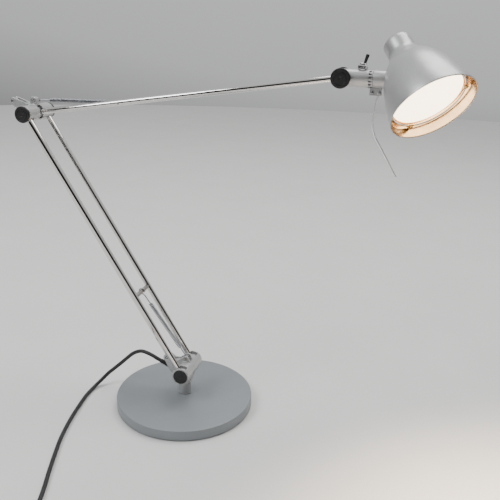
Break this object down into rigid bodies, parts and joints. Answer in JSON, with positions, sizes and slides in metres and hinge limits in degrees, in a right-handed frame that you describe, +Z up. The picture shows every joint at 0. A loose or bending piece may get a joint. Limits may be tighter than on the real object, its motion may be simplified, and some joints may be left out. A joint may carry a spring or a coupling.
{
  "type": "architect desk lamp",
  "caption": "Desk lamp with a round weighted base, a spring-balanced parallelogram arm, a single-tube upper arm, and a tilting, turning bell shade with a wire handle.",
  "frame": {"origin": "centre of the base underside", "axes": "+Z up, +X towards the head in the arms' plane, arm pivots parallel to Y"},
  "size_m": [0.6046, 0.4595, 0.5343],
  "materials": {
    "silver_paint": "satin silver powder coat on cast and spun aluminium",
    "base_paint": "fine-textured grey powder coat on pressed steel",
    "chrome": "bright chrome plate",
    "steel": "zinc-plated steel",
    "spring_steel": "drawn spring wire",
    "black_plastic": "black moulded plastic, fine grain",
    "rubber": "black flexible PVC and rubber",
    "cast_iron": "as cast",
    "reflector": "bright anodised",
    "ceramic": "glazed ceramic",
    "glass": "frosted lamp glass",
    "brass": "bright brass"
  },
  "bodies": {
    "base": {"base_disc": "base_paint", "base_pad": "rubber", "base_weight": "cast_iron", "swivel_washer": "steel", "swivel_nut": "steel", "swivel_stem": "steel"},
    "bracket": {"base_bracket": "silver_paint", "base_cap_near": "black_plastic", "base_cap_far": "black_plastic", "base_pivot_pin": "steel", "rod_pin_lower": "steel", "lower_spring_pin": "steel", "strain_relief": "rubber", "cord": "rubber", "cord_coil": "rubber", "plug": "black_plastic"},
    "lower_arm": {"lower_tube_near": "chrome", "lower_tube_far": "chrome", "lower_eye_near": "steel", "lower_eye_far": "steel", "elbow_eye_near": "steel", "elbow_eye_far": "steel", "crossbar": "chrome", "lower_lead": "black_plastic"},
    "rod": {"parallel_rod": "chrome"},
    "spring_lower": {"lower_spring": "spring_steel"},
    "elbow": {"elbow_bracket": "silver_paint", "elbow_cap_near": "black_plastic", "elbow_cap_far": "black_plastic", "elbow_pivot_pin": "steel", "rod_pin_upper": "steel", "upper_spring_pin": "steel"},
    "upper_arm": {"upper_tube": "chrome", "upper_eye": "steel", "head_eye": "steel", "upper_spring_anchor": "steel"},
    "spring_upper": {"upper_spring": "spring_steel"},
    "head": {"head_body": "silver_paint", "head_cap_near": "black_plastic", "head_cap_far": "black_plastic", "head_pivot_pin": "steel", "switch_body": "black_plastic", "toggle_bushing": "chrome", "toggle_nut": "chrome"},
    "toggle": {"toggle_lever": "black_plastic"},
    "shade_end": {"head_sleeve": "silver_paint", "shade": "silver_paint", "shade_nut": "steel", "reflector": "reflector", "lamp_holder": "ceramic", "bulb": "glass", "glass_disc": "glass", "retaining_ring": "steel", "glass_clip_1": "brass", "glass_clip_2": "brass", "glass_clip_3": "brass", "clamp_block": "silver_paint", "clamp_screw_front": "steel", "clamp_screw_rear": "steel", "wire_handle": "chrome"}
  },
  "joints": [
    {"name": "base_swivel", "type": "hinge", "parent": "base", "child": "bracket", "pos_m": [0, 0, 0.0164], "axis": [0, 0, 1], "range_deg": [-150, 150]},
    {"name": "lower_arm_pivot", "type": "hinge", "parent": "bracket", "child": "lower_arm", "pos_m": [0.004, 0, 0.0584], "axis": [0, 1, 0], "range_deg": [-6, 45]},
    {"name": "rod_pivot", "type": "hinge", "parent": "bracket", "child": "rod", "pos_m": [-0.026, 0, 0.0724], "axis": [0, 1, 0], "range_deg": [-6.5, 45.5]},
    {"name": "elbow_level", "type": "hinge", "parent": "lower_arm", "child": "elbow", "pos_m": [-0.21607, 0, 0.41613], "axis": [0, 1, 0], "range_deg": [-45.5, 6.5]},
    {"name": "lower_spring_pivot", "type": "hinge", "parent": "bracket", "child": "spring_lower", "pos_m": [0.004, 0, 0.0748], "axis": [0, 1, 0], "range_deg": [-8, 52], "deforming": ["lower_spring"]},
    {"name": "upper_arm_pivot", "type": "hinge", "parent": "elbow", "child": "upper_arm", "pos_m": [-0.21607, 0, 0.41613], "axis": [0, 1, 0], "range_deg": [-30, 32]},
    {"name": "upper_spring_pivot", "type": "hinge", "parent": "elbow", "child": "spring_upper", "pos_m": [-0.21607, 0, 0.43252], "axis": [0, 1, 0], "range_deg": [-32, 34], "deforming": ["upper_spring"]},
    {"name": "head_tilt", "type": "hinge", "parent": "upper_arm", "child": "head", "pos_m": [0.19887, 0, 0.4811], "axis": [0, 1, 0], "range_deg": [-50, 55]},
    {"name": "shade_turn", "type": "hinge", "parent": "head", "child": "shade_end", "pos_m": [0.19887, 0, 0.4811], "axis": [1, 0, 0], "range_deg": [-50, 130]},
    {"name": "toggle_throw", "type": "hinge", "parent": "head", "child": "toggle", "pos_m": [0.22307, 0, 0.4926], "axis": [0, 1, 0], "range_deg": [-32, 0]}
  ],
  "couplings": [
    {"joint": "rod_pivot", "follows": "lower_arm_pivot", "ratio": 1},
    {"joint": "elbow_level", "follows": "lower_arm_pivot", "ratio": -1},
    {"joint": "lower_spring_pivot", "follows": "lower_arm_pivot", "ratio": 1.13},
    {"joint": "upper_spring_pivot", "follows": "upper_arm_pivot", "ratio": 1.02}
  ]
}
